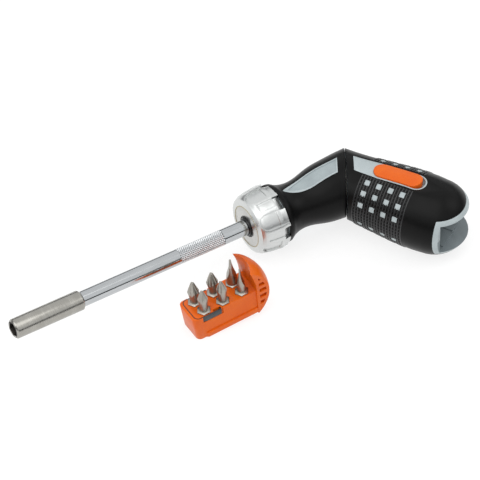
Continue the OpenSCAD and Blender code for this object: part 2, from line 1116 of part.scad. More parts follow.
// The body's outline from above, from its rounded free end to well into the head
module cassette_plan() {
    half_w = cassette_w / 2;
    start = slot_x - cassette_len;
    reach = cassette_len + 2 * cassette_corner;
    translate([start + cassette_corner, -half_w])
        square([reach - cassette_corner, cassette_w]);
    translate([start, cassette_corner - half_w])
        square([reach, cassette_w - 2 * cassette_corner]);
    for (side = [-1, 1])
        translate([start + cassette_corner, side * (half_w - cassette_corner)])
            circle(r = cassette_corner);
}

// The rails' outline from above, which runs out of the sides behind the free end
module rail_plan() {
    start = slot_x - cassette_len + cassette_corner + rail_out;
    half_w = cassette_w / 2;
    polygon([
        [start, rail_out - half_w], [start + 3 * rail_out, -half_w - rail_out],
        [slot_x + over, -half_w - rail_out], [slot_x + over, half_w + rail_out],
        [start + 3 * rail_out, half_w + rail_out], [start, half_w - rail_out]
    ]);
}

// Raises an outline seen from above, so that its thickness is along Y
module raised(from, to) {
    translate([0, from, 0])
        rotate([-90, 0, 0])
            mirror([0, 1, 0])
                linear_extrude(to - from)
                    children();
}

// Where each bit stands
module at_bit(index) {
    row = index % 2;
    col = floor(index / 2);
    translate([
        slot_x - cassette_len + bit_first + col * bit_pitch + row * row_stagger,
        cassette_top - bit_seat,
        (row - 0.5) * row_pitch
    ])
        rotate([-90, 0, 0])
            children();
}

// One side of the clip's outline, from its end round the corner to the middle
function clip_side(inset, hook) =
    let (
        side = cassette_w / 2 - clip_inset - inset,
        r = cassette_corner - inset,
        knee = slot_x - cassette_len + clip_window_x,
        end = knee + clip_reach - (hook > 0 ? inset : 0),
        middle = [slot_x - cassette_len + cassette_corner + clip_inset, side - r]
    )
    concat(
        hook > 0 ? [[end, side + inset - hook]] : [],
        [[end, side + clip_bulge], [knee + clip_joggle, side + clip_bulge], [knee, side]],
        [for (p = arc(r, 0, -90, 4)) middle + p]
    );

// The strip of the spring clip: a U round the free end, bent inwards at its front end
module clip_strip(t, room) {
    front = clip_side(-room, clip_hook);
    back = clip_side(-room, 0);
    inner_back = clip_side(t + room, 0);
    inner_front = clip_side(t + room, clip_hook);
    polygon(concat(
        front,
        [for (i = [len(back) - 1 : -1 : 0]) [back[i].x, -back[i].y]],
        [for (p = inner_back) [p.x, -p.y]],
        [for (i = [len(inner_front) - 1 : -1 : 0]) inner_front[i]]
    ));
}

// The body: its free end leans outwards, and a rail runs along each side
module cassette_body() {
    start = slot_x - cassette_len;
    intersection() {
        span(
            [-grip_len, -cassette_base, -cassette_w],
            [slot_x + over, cassette_top, cassette_w]
        );
        translate([start, -cassette_base, 0])
            rotate([0, 0, end_lean])
                translate([-start, cassette_base, 0])
                    raised(-cassette_base - cassette_w, cassette_top + cassette_w)
                        cassette_plan();
    }
    raised(-cassette_base, rail_h - cassette_base)
        rail_plan();
}

// The rounded head that fills the fork, with a lip that leans over the bits
module cassette_head() {
    intersection() {
        grip_form(0);
        union() {
            span([slot_x, -grip_len, -head_t / 2], [2 * grip_len, grip_len, head_t / 2]);
            span(
                [slot_x - lip_room, cassette_top, -head_t / 2],
                [slot_x + over, grip_len, head_t / 2]
            );
        }
    }
}

// The hollow of the head's inner face: bowed in height and dished across
module head_hollow() {
    intersection() {
        span([0, cassette_top, -slot_h], [2 * grip_len, grip_len, slot_h]);
        translate([slot_x + lip_gap - lip_bow_r, cassette_top, -slot_h])
            cylinder(h = 2 * slot_h, r = lip_bow_r);
    }
    translate([dish_x, cassette_top, 0])
        rotate([-90, 0, 0])
            cylinder(h = grip_r, r = dish_r);
}

module cassette() {
    color(orange)
        standing()
            difference() {
                union() {
                    cassette_body();
                    cassette_head();
                }
                head_hollow();
                head_slot_cuts();
                for (i = [0 : bit_count - 1])
                    at_bit(i)
                        translate([0, 0, bit_seat - bit_pocket_depth])
                            cylinder(h = bit_len, d = pocket_af / cos(30), $fn = 6);
                raised(cassette_top - clip_h - fit, cassette_top + over)
                    clip_strip(clip_t, fit);
                clip_windows();
            }
}

// The openings where the clip's ends come out, and the pocket behind its bent end
module clip_windows() {
    x = slot_x - cassette_len + clip_window_x - clip_joggle;
    pocket_end = x + clip_joggle + clip_reach + free;
    low = cassette_top - clip_h - free;
    for (side = [0, 1])
        mirror([0, 0, side])
            span(
                [x, low, cassette_w / 2 - clip_inset - clip_t - fit],
                [x + clip_window_len, cassette_top + over, cassette_w]
            );
    span(
        [pocket_end - clip_pocket_len, low, cassette_w / 2 - clip_inset - clip_hook - free],
        [pocket_end, cassette_top + over, cassette_w]
    );
}

// The slots between the ribs on both flat faces of the head
module head_slot_cuts() {
    intersection() {
        turned(grip_drawn_in(head_rim));
        for (s = [-1, 1])
            for (i = [0 : head_slots - 1])
                translate([
                    slot_x + head_slot_inset,
                    i * head_slot_pitch - head_slot_drop,
                    s > 0 ? head_t / 2 - head_slot_depth : -head_t / 2 - over
                ])
                    cube([dome_len, head_slot_w, head_slot_depth + over]);
    }
}

module cassette_clip() {
    color(steel)
        standing()
            raised(cassette_top - clip_h, cassette_top - fit)
                clip_strip(clip_t, 0);
}

// Bits, drawn upright

// The hexagonal shank with chamfered ends
module bit_shank() {
    corner_r = bit_af / 2 / cos(30);
    intersection() {
        cylinder(h = bit_hex_len, d = 2 * corner_r, $fn = 6);
        rotate_extrude()
            polygon([
                [0, 0], [corner_r - bit_chamfer, 0], [corner_r, bit_chamfer],
                [corner_r, bit_hex_len - bit_chamfer],
                [corner_r - 2 * bit_chamfer, bit_hex_len], [0, bit_hex_len]
            ]);
    }
}

// A cross-point bit: a waisted neck, a flare and four flutes up to the point
module cross_bit(flare_r, point_r) {
    flare_z = bit_len - cross_point_len * flare_r / cross_flare_r;
    flute_r = flare_r * flute_share;
    color(steel) {
        bit_shank();
        difference() {
            translate([0, 0, bit_hex_len - over])
                rotate_extrude()
                    polygon([for (p = [
                        [0, -over], [bit_neck_r, -over], [bit_neck_r, bit_neck_rise],
                        [flare_r, flare_z - bit_hex_len],
                        [point_r, bit_len - bit_hex_len], [0, bit_len - bit_hex_len]
                    ]) [p.x, p.y + over]]);
            for (a = [45 : 90 : 315])
                rotate([0, 0, a])
                    translate([flute_r + point_r * flute_root_share, 0, bit_len])
                        rotate([0, -flute_lean, 0])
                            translate([0, 0, -bit_len])
                                cylinder(h = 2 * bit_len, r = flute_r, $fn = 48);
        }
    }
}

// A slotted bit: a round neck drawn out into a flat blade with hollow flanks
module slotted_bit(blade_w, blade_t) {
    top = bit_len;
    root = bit_hex_len + bit_neck_rise * blade_root_share;
    neck_r = blade_w / 2 * blade_neck_share;
    flank = [for (s = blade_flank_shares)
        [blade_t / 2 + (neck_r - blade_t / 2) * s[1], root + (top - root) * s[0]]];
    last = len(flank) - 1;
    color(steel) {
        bit_shank();
        rotate([0, 0, -blade_turn])
            intersection() {
                translate([0, 0, bit_hex_len - over])
                    rotate_extrude()
                        polygon([
                            [0, 0], [neck_r, 0], [neck_r, over + bit_neck_rise],
                            [blade_w / 2, over + 2 * bit_neck_rise],
                            [blade_w / 2, top - bit_hex_len + over],
                            [0, top - bit_hex_len + over]
                        ]);
                rotate([90, 0, 0])
                    translate([0, 0, -blade_w])
                        linear_extrude(2 * blade_w)
                            polygon(concat(
                                [[-blade_w, 0], [blade_w, 0], [blade_w, root]],
                                flank,
                                [for (i = [last : -1 : 0]) [-flank[i].x, flank[i].y]],
                                [[-blade_w, root]]
                            ));
            }
    }
}

module cross_bit_1() {
    standing()
        at_bit(0)
            cross_bit(cross_flare_r, cross_point_r);
}

module cross_bit_2() {
    standing()
        at_bit(1)
            cross_bit(small_flare_r, small_point_r);
}

module cross_bit_3() {
    standing()
        at_bit(2)
            cross_bit(cross_flare_r, cross_point_r);
}

module cross_bit_4() {
    standing()
        at_bit(3)
            cross_bit(small_flare_r, small_point_r);
}

module slotted_bit_1() {
    standing()
        at_bit(4)
            slotted_bit(wide_blade_w, wide_blade_t);
}

module slotted_bit_2() {
    standing()
        at_bit(5)
            slotted_bit(small_blade_w, small_blade_t);
}

bit_holder();
holder_magnet();
shaft();
ratchet_gear();
shaft_clip();
selector_collar();
selector_plunger();
selector_spring();
collar_cap();
shaft_bush();
ratchet_body();
pawl_pin();
rocker_pawl();
neck_core_upper();
neck_core_lower();
neck_sleeve();
swivel_bolt();
swivel_washer();
disc_spring();
swivel_nut();
grip_core_upper();
grip_core_lower();
grip_sleeve();
lock_button();
lock_slider();
lock_spring();
cassette();
cassette_clip();
cross_bit_1();
cross_bit_2();
cross_bit_3();
cross_bit_4();
slotted_bit_1();
slotted_bit_2();
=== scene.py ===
# %% [markdown]
# # A ratcheting screwdriver that bends to a pistol grip
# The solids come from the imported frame, in metres and in one shared place. This file
# gives them their finishes and adds what is too fine for the solids: the knurl on the
# shaft, the ribs and dots of the soft grip, and small rings. Each step says what the
# real thing is, how it could be made, and why it is made this way.

# %% Load the frame
import json
import math

import bmesh
import bpy
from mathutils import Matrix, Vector


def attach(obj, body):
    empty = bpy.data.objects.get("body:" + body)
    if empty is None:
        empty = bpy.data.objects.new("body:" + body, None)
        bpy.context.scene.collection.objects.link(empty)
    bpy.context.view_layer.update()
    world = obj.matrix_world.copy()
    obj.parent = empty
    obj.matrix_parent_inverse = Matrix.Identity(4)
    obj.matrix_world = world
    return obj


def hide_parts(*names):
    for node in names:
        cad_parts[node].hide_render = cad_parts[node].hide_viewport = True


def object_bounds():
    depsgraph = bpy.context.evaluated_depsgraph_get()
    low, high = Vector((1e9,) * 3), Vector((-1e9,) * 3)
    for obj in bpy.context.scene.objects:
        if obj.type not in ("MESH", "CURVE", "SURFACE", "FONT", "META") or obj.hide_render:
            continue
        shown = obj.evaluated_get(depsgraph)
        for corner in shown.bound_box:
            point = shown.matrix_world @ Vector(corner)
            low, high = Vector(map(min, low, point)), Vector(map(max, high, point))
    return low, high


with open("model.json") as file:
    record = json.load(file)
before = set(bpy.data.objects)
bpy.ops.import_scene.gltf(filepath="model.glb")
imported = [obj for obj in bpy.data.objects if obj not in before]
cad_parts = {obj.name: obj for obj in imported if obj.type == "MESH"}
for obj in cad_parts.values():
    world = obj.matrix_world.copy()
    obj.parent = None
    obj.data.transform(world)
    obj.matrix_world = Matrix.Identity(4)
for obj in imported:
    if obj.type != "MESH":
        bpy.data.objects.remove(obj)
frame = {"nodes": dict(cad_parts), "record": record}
cad_low, cad_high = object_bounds()
MM = 0.001
nodes = frame["nodes"]
scene = bpy.context.scene
print("nodes:", len(nodes), "box mm:", [round(v / MM, 1) for v in cad_high - cad_low])

# %% [markdown]
# ## The photograph's view
# The tool lies on its side on a white table and was photographed from well away, so
# nearly all of its lines stay parallel. A long lens three metres off does the same, and
# is kinder than an orthographic camera because other views can move it.

# %% Camera
VIEW_AZIMUTH = math.radians(-32)
VIEW_HEIGHT = math.radians(45)
VIEW_CENTRE = Vector((127.4, -6.3, 0)) * MM
VIEW_DISTANCE = 3.0
VIEW_WIDTH = 238.8 * MM
SENSOR_MM = 36
# The nearest and the farthest thing that the camera sees, in metres
CLIP_START, CLIP_END = 0.05, 20


def away(azimuth, height):
    """The direction from the object to someone who looks at it."""
    return Vector((
        math.sin(azimuth) * math.cos(height),
        -math.cos(azimuth) * math.cos(height),
        math.sin(height),
    ))


def aim(item, azimuth, height, distance):
    """Puts a camera or light on that direction, looking at the view's centre."""
    back = away(azimuth, height)
    item.location = VIEW_CENTRE + back * distance
    item.rotation_euler = (-back).to_track_quat("-Z", "Y").to_euler()


camera = bpy.data.objects.new("camera", bpy.data.cameras.new("camera"))
scene.collection.objects.link(camera)
camera.data.sensor_width = SENSOR_MM
camera.data.lens = SENSOR_MM * VIEW_DISTANCE / VIEW_WIDTH
camera.data.clip_start, camera.data.clip_end = CLIP_START, CLIP_END
aim(camera, VIEW_AZIMUTH, VIEW_HEIGHT, VIEW_DISTANCE)
scene.camera = camera
print("lens mm:", round(camera.data.lens, 1))

# %% [markdown]
# ## Helpers for finishes
# Colours are written as sRGB hex values, as a paint maker would give them, and turned
# to the linear values that shaders need. One function adds a node of any kind, with its
# settings and its links, and serves shader trees and geometry trees alike.

# %% Colour and node helpers


def colour(code):
    """An sRGB hex value such as #f26a21 as linear red, green, blue and alpha."""
    parts = [int(code[i:i + 2], 16) / 255 for i in (1, 3, 5)]
    # The two branches of the sRGB standard's curve
    linear = [v / 12.92 if v <= 0.04045 else ((v + 0.055) / 1.055) ** 2.4 for v in parts]
    return (*linear, 1.0)


def add_node(tree, kind, inputs=(), **settings):
    """Adds a node. Each input is a value to set or another node's socket to link."""
    node = tree.nodes.new(kind)
    for name, value in settings.items():
        setattr(node, name, value)
    for name, value in dict(inputs).items():
        if isinstance(value, bpy.types.NodeSocket):
            tree.links.new(value, node.inputs[name])
        else:
            node.inputs[name].default_value = value
    return node


print("white:", colour("#ffffff"))

# %% [markdown]
# ## One recipe for every finish
# A fine noise stands for the surface's own grain and a broad one for the clouds that
# handling and moulding leave. Together they vary the colour, and the fine one alone
# varies the gloss and the height. The grain has a size in mm, and a stretch turns it
# into the marks of a lathe or a drawing die.

# %% Finish recipe
GRAIN_DETAIL, GRAIN_ROUGHNESS = 3.0, 0.6
# How many times wider than the grain a cloud is
BROAD_TIMES, BROAD_DETAIL = 18, 2.0
# The stretch of each noise's values that runs from dark to light and from gloss to dull
TINT_FROM, TINT_TO = 0.12, 0.42
GLOSS_FROM, GLOSS_TO = 0.3, 0.7
BUMP_STRENGTH = 0.5
EVEN = (1, 1, 1)


def finish(name, dark, light, rough, grain, bump, stretch=EVEN, metallic=0.0, **shader):
    """A finish with a grain of a size in mm, which varies colour, gloss and height."""
    made = bpy.data.materials.new(name)
    made.use_nodes = True
    tree = made.node_tree
    tree.nodes.clear()
    place = add_node(tree, "ShaderNodeTexCoord")
    stretched = add_node(tree, "ShaderNodeMapping", {
        "Vector": place.outputs["Object"], "Scale": stretch,
    })
    fine = add_node(tree, "ShaderNodeTexNoise", {
        "Vector": stretched.outputs["Vector"], "Scale": 1 / (grain * MM),
        "Detail": GRAIN_DETAIL, "Roughness": GRAIN_ROUGHNESS,
    })
    broad = add_node(tree, "ShaderNodeTexNoise", {
        "Vector": stretched.outputs["Vector"], "Scale": 1 / (BROAD_TIMES * grain * MM),
        "Detail": BROAD_DETAIL,
    })
    mixed = add_node(tree, "ShaderNodeMath", {
        0: fine.outputs["Fac"], 1: broad.outputs["Fac"],
    }, operation="MULTIPLY")
    tint = add_node(tree, "ShaderNodeValToRGB", {"Fac": mixed.outputs["Value"]})
    ends = ((TINT_FROM, dark), (TINT_TO, light))
    for stop, (position, code) in zip(tint.color_ramp.elements, ends):
        stop.position, stop.color = position, colour(code)
    gloss = add_node(tree, "ShaderNodeMapRange", {
        "Value": fine.outputs["Fac"], "From Min": GLOSS_FROM, "From Max": GLOSS_TO,
        "To Min": rough[0], "To Max": rough[1],
    })
    height = add_node(tree, "ShaderNodeBump", {
        "Height": fine.outputs["Fac"], "Distance": bump * MM, "Strength": BUMP_STRENGTH,
    })
    body = add_node(tree, "ShaderNodeBsdfPrincipled", {
        "Base Color": tint.outputs["Color"], "Roughness": gloss.outputs["Result"],
        "Normal": height.outputs["Normal"], "Metallic": metallic, **shader,
    })
    add_node(tree, "ShaderNodeOutputMaterial", {"Surface": body.outputs["BSDF"]})
    return made


print("a broad cloud is", BROAD_TIMES, "grains wide")

# %% [markdown]
# ## The finishes of the record's slots
# Each slot is one real material. The grain is its true one where that shows, and
# coarser where a true one would vanish between the picture's pixels.

# %% Metals
# Close rings round the axis from a lathe, and long lines along it from a drawing die
LATHE_RINGS = (1.6, 0.1, 0.1)
DRAWN_LINES = (0.06, 1, 1)
materials = {
    # Turned stainless steel, satin: fine rings from the lathe, slightly warm
    "stainless": finish(
        "stainless_turned_satin", "#9a9892", "#afada7",
        rough=(0.22, 0.28), grain=0.5, bump=0.0012, stretch=LATHE_RINGS, metallic=1.0),
    # Chrome-plated steel bar, polished: bright, with only a trace of drawing marks
    "chromed_steel": finish(
        "steel_chrome_plated", "#b0b3b5", "#c1c4c6",
        rough=(0.12, 0.17), grain=0.6, bump=0.001, stretch=DRAWN_LINES, metallic=1.0),
    # Nickel-plated magnet at the bottom of the socket, its colour darkened as painted
    # shade
    "magnet": finish(
        "magnet_nickel_painted_shade", "#4c4c50", "#66666a",
        rough=(0.35, 0.5), grain=0.4, bump=0.01, metallic=1.0),
    # Hardened steel with a film of oil, inside the ratchet and the swivel
    "dark_steel": finish(
        "steel_hardened_oiled", "#58585c", "#78787c",
        rough=(0.30, 0.45), grain=0.4, bump=0.01, metallic=1.0),
    # Zinc die casting with satin plating: smooth and pale, a little cloudy
    "cast_zinc": finish(
        "zinc_cast_satin_plated", "#cbcdcc", "#d4d6d5",
        rough=(0.29, 0.33), grain=0.8, bump=0.0004, metallic=1.0),
    # Blued spring steel strip
    "spring_steel": finish(
        "spring_steel_blued", "#3c4042", "#585d60",
        rough=(0.28, 0.4), grain=0.5, bump=0.01, metallic=1.0),
    # Sand-blasted tool steel: dull, warm and slightly speckled
    "bit_steel": finish(
        "tool_steel_blasted", "#98938b", "#b3afa7",
        rough=(0.3, 0.4), grain=0.35, bump=0.006, metallic=1.0),
}
print("metals:", len(materials))

# %% Plastics and rubber
materials.update({
    # Acetal, black with a slight shine, in the bush and the lock's slider
    "black_acetal": finish(
        "acetal_black_moulded", "#0a0a0b", "#121213",
        rough=(0.16, 0.22), grain=0.4, bump=0.001),
    # Acetal, natural white, in the swivel's washer
    "white_acetal": finish(
        "acetal_natural_moulded", "#d8d6cc", "#e6e4da",
        rough=(0.35, 0.45), grain=0.4, bump=0.01),
    # ABS in a cool grey, spark-eroded mould: an even satin
    "grey_plastic": finish(
        "abs_grey_satin_moulded", "#a0aaac", "#b3bcbe",
        rough=(0.38, 0.48), grain=0.5, bump=0.004),
    # Thermoplastic rubber moulded over the core: black, soft satin
    "black_rubber": finish(
        "tpe_black_overmoulded", "#060606", "#0c0c0c",
        rough=(0.3, 0.38), grain=0.45, bump=0.004, **{"Specular IOR Level": 0.14}),
    # ABS in orange, semi-gloss
    "orange_plastic": finish(
        "abs_orange_moulded", "#d45604", "#df660b",
        rough=(0.3, 0.38), grain=0.6, bump=0.003, **{"Specular IOR Level": 0.3}),
})
print("finishes:", sorted(materials))

# %% [markdown]
# ## Edges
# A real moulding has no knife edges: the tool that made it left a small radius. The
# solids come as loose triangles, so their doubles are welded and flat faces joined
# before a bevel runs along the sharp edges. All of it is done by modifiers, because the
# solids themselves stay as they were packed.

# %% Smooth shading by angle
SMOOTH_BELOW = math.radians(32)


def geometry_tree(name, inputs):
    """A geometry tree with its named inputs, and the node that brings them in."""
    tree = bpy.data.node_groups.new(name, "GeometryNodeTree")
    face = tree.interface
    face.new_socket("Geometry", in_out="INPUT", socket_type="NodeSocketGeometry")
    for label, (kind, value) in inputs.items():
        socket = face.new_socket(label, in_out="INPUT", socket_type=kind)
        if value is not None:
            socket.default_value = value
    face.new_socket("Geometry", in_out="OUTPUT", socket_type="NodeSocketGeometry")
    return tree, add_node(tree, "NodeGroupInput")


def smooth_tree(limit):
    """Shades all faces smooth and leaves edges sharper than the limit as they are."""
    tree, start = geometry_tree("smooth_up_to_an_angle", {})
    bend = add_node(tree, "GeometryNodeInputMeshEdgeAngle")
    gentle = add_node(tree, "FunctionNodeCompare", {
        0: bend.outputs["Unsigned Angle"], 1: limit,
    }, operation="LESS_THAN")
    faces = add_node(tree, "GeometryNodeSetShadeSmooth", {
        "Geometry": start.outputs[0], "Shade Smooth": True,
    }, domain="FACE")
    edges = add_node(tree, "GeometryNodeSetShadeSmooth", {
        "Geometry": faces.outputs[0], "Shade Smooth": gentle.outputs[0],
    }, domain="EDGE")
    add_node(tree, "NodeGroupOutput", {0: edges.outputs[0]})
    return tree


SMOOTH = smooth_tree(SMOOTH_BELOW)
print("smooth below:", round(math.degrees(SMOOTH_BELOW)), "degrees")

# %% Bevels on the solids
# Doubles lie nearer than WELD_MM, and faces that bend less than FLAT_ANGLE are one face
WELD_MM = 0.002
FLAT_ANGLE = math.radians(0.4)
BEVEL_ANGLE, BEVEL_STEPS = math.radians(35), 2
BEVEL_MM = {
    "bit_holder": 0.12, "selector_collar": 0.3, "collar_cap": 0.15, "shaft_bush": 0.2,
    "neck_core_upper": 0.2, "neck_core_lower": 0.2, "neck_sleeve": 0.3,
    "grip_core_upper": 0.25, "grip_core_lower": 0.25, "grip_sleeve": 0.3,
    "lock_button": 0.5, "cassette": 0.3, "cassette_clip": 0.05,
}


def soften(item, width):
    """Welds, joins flat faces, rounds sharp edges by a width in mm and shades smooth."""
    weld = item.modifiers.new("weld", "WELD")
    weld.merge_threshold = WELD_MM * MM
    flat = item.modifiers.new("flat", "DECIMATE")
    flat.decimate_type = "DISSOLVE"
    flat.angle_limit = FLAT_ANGLE
    if width:
        bevel = item.modifiers.new("bevel", "BEVEL")
        bevel.width = width * MM
        bevel.segments = BEVEL_STEPS
        bevel.limit_method = "ANGLE"
        bevel.angle_limit = BEVEL_ANGLE
        bevel.use_clamp_overlap = True
    item.modifiers.new("smooth", "NODES").node_group = SMOOTH


slot_of = {row["node"]: row["material_slot"] for row in frame["record"]["subparts"]}
for name, item in nodes.items():
    item.data.materials.clear()
    item.data.materials.append(materials[slot_of[name]])
    soften(item, BEVEL_MM.get(name, 0))
print("softened:", len(nodes), "of them bevelled:", len(BEVEL_MM))

# %% [markdown]
# ## Faces with a finish of their own
# One piece can carry more than one surface: a face cut on the lathe, a socket, a field
# that the mould left coarser. Such a region is named by where its faces lie on the
# piece, so only the faces' finish changes and the solid stays as it is.

# %% Regions of a piece
# A station with less than this share of its neighbours' radius lies inside the solid
DIP = 0.95


def paint(data, finish_name, belongs):
    """Gives the faces of a mesh that belong to a region their own finish."""
    data.materials.append(materials[finish_name])
    for face in data.polygons:
        face.material_index = int(belongs(face))
    print(finish_name, "faces:", sum(face.material_index for face in data.polygons))


def place_on(start, along, side):
    """A function for a point's station, sideways and upwards place in mm on an axis."""
    def place(point):
        far = point / MM - start
        return far.dot(along), far.dot(side), far.z
    return place


def outline_of(item, place, start, end):
    """Stations in mm along a turned solid, each with the solid's radius there."""
    largest = {}
    for corner in item.data.vertices:
        x, y, z = place(corner.co)
        if start <= x <= end:
            largest[round(x, 1)] = max(largest.get(round(x, 1), 0), math.hypot(y, z))
    stations = sorted(largest.items())
    return [
        here for before, here, after in zip(stations, stations[1:], stations[2:])
        if here[1] > DIP * min(before[1], after[1])
    ]


def radius_at(outline, x):
    """The radius of an outline at a station, between the two nearest ones."""
    for (x0, r0), (x1, r1) in zip(outline, outline[1:]):
        if x0 <= x <= x1:
            return r0 + (r1 - r0) * (x - x0) / (x1 - x0)
    return outline[-1][1]


print("stations left out below", DIP, "of their neighbours' radius")

# %% [markdown]
# ## The cap and the socket
# Two steel parts look different: the cap was faced, and the holder's socket, cut by a
# broach, is painted near black, which is painted shade inside the socket.

# %% Cap and socket
# Faced flat on the lathe, the cap is paler than the turned holder
materials["faced"] = finish(
    "stainless_faced", "#b9b9b6", "#cfcfcc",
    rough=(0.28, 0.36), grain=0.6, bump=0.001, metallic=1.0)
nodes["collar_cap"].data.materials[0] = materials["faced"]

# The socket is broached, and its near-black finish is painted shade inside it, unlike the
# polished outside of the holder. Its faces are those nearer to the axis than the hexagon's
# corners
SOCKET_CORNER = 3.75
materials["socket_shade"] = finish(
    "stainless_socket_painted_shade", "#2a2826", "#3f3c39",
    rough=(0.45, 0.55), grain=0.5, bump=0.002, metallic=1.0)


def in_socket(face):
    """Whether a face of the holder belongs to its socket."""
    return math.hypot(face.center.y, face.center.z) / MM < SOCKET_CORNER


paint(nodes["bit_holder"].data, "socket_shade", in_socket)

# %% [markdown]
# ## The leaf's sunken field
# The field is duller than the rim round it, and painted darker as painted shade in
# the recess. A face of the core belongs to it when it lies in the leaf's strip, deeper
# below the rubber's outline than half the recess, but not inside the handle.

# %% Field of the leaf
# The stretch of the sleeve whose outline is read, the leaf's strip, and the depths
# between which its field lies, all in mm
NECK_FROM, NECK_TO = 150.0, 192.5
LEAF_START, LEAF_END, LEAF_HALF_W = 156.0, 189.5, 4.6
HALF_RECESS = 0.22
DEEPEST = 3 * HALF_RECESS
# The field's darker grey is painted shade in the recess
materials["field_shade"] = finish(
    "abs_grey_field_painted_shade", "#8f999c", "#a1abad",
    rough=(0.5, 0.6), grain=0.5, bump=0.006)
along_neck = place_on(Vector((0, 0, 0)), Vector((1, 0, 0)), Vector((0, 1, 0)))
neck_outline = outline_of(nodes["neck_sleeve"], along_neck, NECK_FROM, NECK_TO)


def in_leaf_field(face):
    """Whether a face of the neck's core belongs to the leaf's sunken field."""
    x, y, z = along_neck(face.center)
    if not LEAF_START < x < LEAF_END or abs(y) >= LEAF_HALF_W:
        return False
    depth = radius_at(neck_outline, x) - math.hypot(y, z)
    return HALF_RECESS < depth < DEEPEST


for name in ("neck_core_upper", "neck_core_lower"):
    paint(nodes[name].data, "field_shade", in_leaf_field)

# %% [markdown]
# ## The inside of the fork
# The handle opens in a fork that takes the cassette. The cheeks' inner faces, which look
# at each other across the middle plane, and the steps between them are painted darker than
# the rim: painted shade inside the fork.

# %% Inside of the fork
BEND = math.radians(60)
KNEE_X = 193.8
# Where the fork starts along the grip, half its height, and how deep its steps lie
FORK_START, FORK_HALF, FORK_SKIN = 8.0, 9.5, 1.2
# How much of a cheek's direction is up or down, at the least
ACROSS = 0.9
grip_along = Vector((math.cos(BEND), -math.sin(BEND), 0))
grip_side = Vector((math.sin(BEND), math.cos(BEND), 0))
grip_start = Vector((KNEE_X, 0, 0))
along_grip = place_on(grip_start, grip_along, grip_side)
# Painted shade: a darker grey for the faces inside the fork
materials["bay"] = finish(
    "abs_grey_fork_painted_shade", "#6f787b", "#7f888b",
    rough=(0.45, 0.55), grain=0.5, bump=0.006)


def in_fork_of(outline):
    """A function for whether a face of one core half lies inside the fork."""
    def belongs(face):
        x, y, z = along_grip(face.center)
        if x <= FORK_START or abs(z) >= FORK_HALF:
            return False
        cheek = abs(face.normal.z) > ACROSS and face.normal.z * z < 0
        return cheek or radius_at(outline, x) - math.hypot(y, z) > FORK_SKIN
    return belongs


for name in ("grip_core_upper", "grip_core_lower"):
    grip_outline = outline_of(nodes[name], along_grip, FORK_START, math.inf)
    paint(nodes[name].data, "bay", in_fork_of(grip_outline))

# %% [markdown]
# ## The knurled shaft
# The bar is turned, and a knurling wheel presses crossing grooves into it, which leave
# a band of small diamonds. A bump map would leave them as shading only, so a
# geometry tree sets one diamond on each point of a staggered grid round the bar.

# %% Turned pieces
BAR_SIDES = 96


def mesh_object(name, points, faces, slot):
    """A new object from points in mm, with the finish of a slot."""
    data = bpy.data.meshes.new(name)
    data.from_pydata([Vector(p) * MM for p in points], [], faces)
    item = bpy.data.objects.new(name, data)
    scene.collection.objects.link(item)
    form = bmesh.new()
    form.from_mesh(data)
    bmesh.ops.recalc_face_normals(form, faces=form.faces)
    form.to_mesh(data)
    form.free()
    data.materials.append(materials[slot])
    return item


def turned(name, profile, slot, closed=False):
    """A piece turned about the shaft's axis from stations and radii in mm."""
    rings, sides = len(profile), BAR_SIDES
    points = [
        (x, r * math.cos(a), r * math.sin(a))
        for x, r in profile
        for a in (2 * math.pi * k / sides for k in range(sides))
    ]
    spans = range(rings if closed else rings - 1)
    faces = [
        (i * sides + k, i * sides + (k + 1) % sides,
         (i + 1) % rings * sides + (k + 1) % sides, (i + 1) % rings * sides + k)
        for i in spans for k in range(sides)
    ]
    if not closed:
        faces.append(tuple(range(sides)))
        faces.append(tuple((rings - 1) * sides + k for k in range(sides)))
    item = mesh_object(name, points, faces, slot)
    item.modifiers.new("smooth", "NODES").node_group = SMOOTH
    return item


print("sides of a turned piece:", BAR_SIDES)

# %% Shaft bar
# KNURL_WALL is the width of the walls at the band's two ends
SHAFT_R = 4.0
SHAFT_START, SHAFT_END, END_CHAMFER = 15.2, 157.35, 0.6
KNURL_START, KNURL_LEN, KNURL_DEEP, KNURL_WALL = 95.0, 25.5, 0.34, 0.01
KNURL_END = KNURL_START + KNURL_LEN
GROOVE_START, GROOVE_W, GROOVE_R = 148.75, 0.95, 3.5
GROOVE_END = GROOVE_START + GROOVE_W
shaft_bar = turned("shaft_bar", [
    (SHAFT_START, SHAFT_R), (KNURL_START - KNURL_WALL, SHAFT_R),
    (KNURL_START, SHAFT_R - KNURL_DEEP), (KNURL_END, SHAFT_R - KNURL_DEEP),
    (KNURL_END + KNURL_WALL, SHAFT_R), (GROOVE_START, SHAFT_R),
    (GROOVE_START, GROOVE_R), (GROOVE_END, GROOVE_R), (GROOVE_END, SHAFT_R),
    (SHAFT_END - END_CHAMFER, SHAFT_R), (SHAFT_END, SHAFT_R - END_CHAMFER),
], "chromed_steel")

# The bottoms of the knurl's grooves are painted darker: painted shade between the diamonds
materials["groove"] = finish(
    "steel_chrome_groove_painted_shade", "#4c4e50", "#5e6062",
    rough=(0.4, 0.5), grain=0.5, bump=0.001, metallic=1.0)


def under_knurl(face):
    """Whether a face of the bar belongs to the bottom of the knurled band."""
    return KNURL_START < face.center.x / MM < KNURL_END


paint(shaft_bar.data, "groove", under_knurl)
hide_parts("shaft")
print("shaft faces:", len(shaft_bar.data.polygons))

# %% [markdown]
# ## Copies on points
# The knurl and the grip's pattern are the same small shape many times over. Each point
# carries the direction that its copy faces, and a geometry tree sets the copies. The
# result is kept as a plain piece, so that it reaches the exported model.

# %% Helpers for copies


def carried(tree, name, kind):
    """The socket of a value that the points carry."""
    reader = add_node(
        tree, "GeometryNodeInputNamedAttribute", {"Name": name}, data_type=kind)
    return reader.outputs["Attribute"]


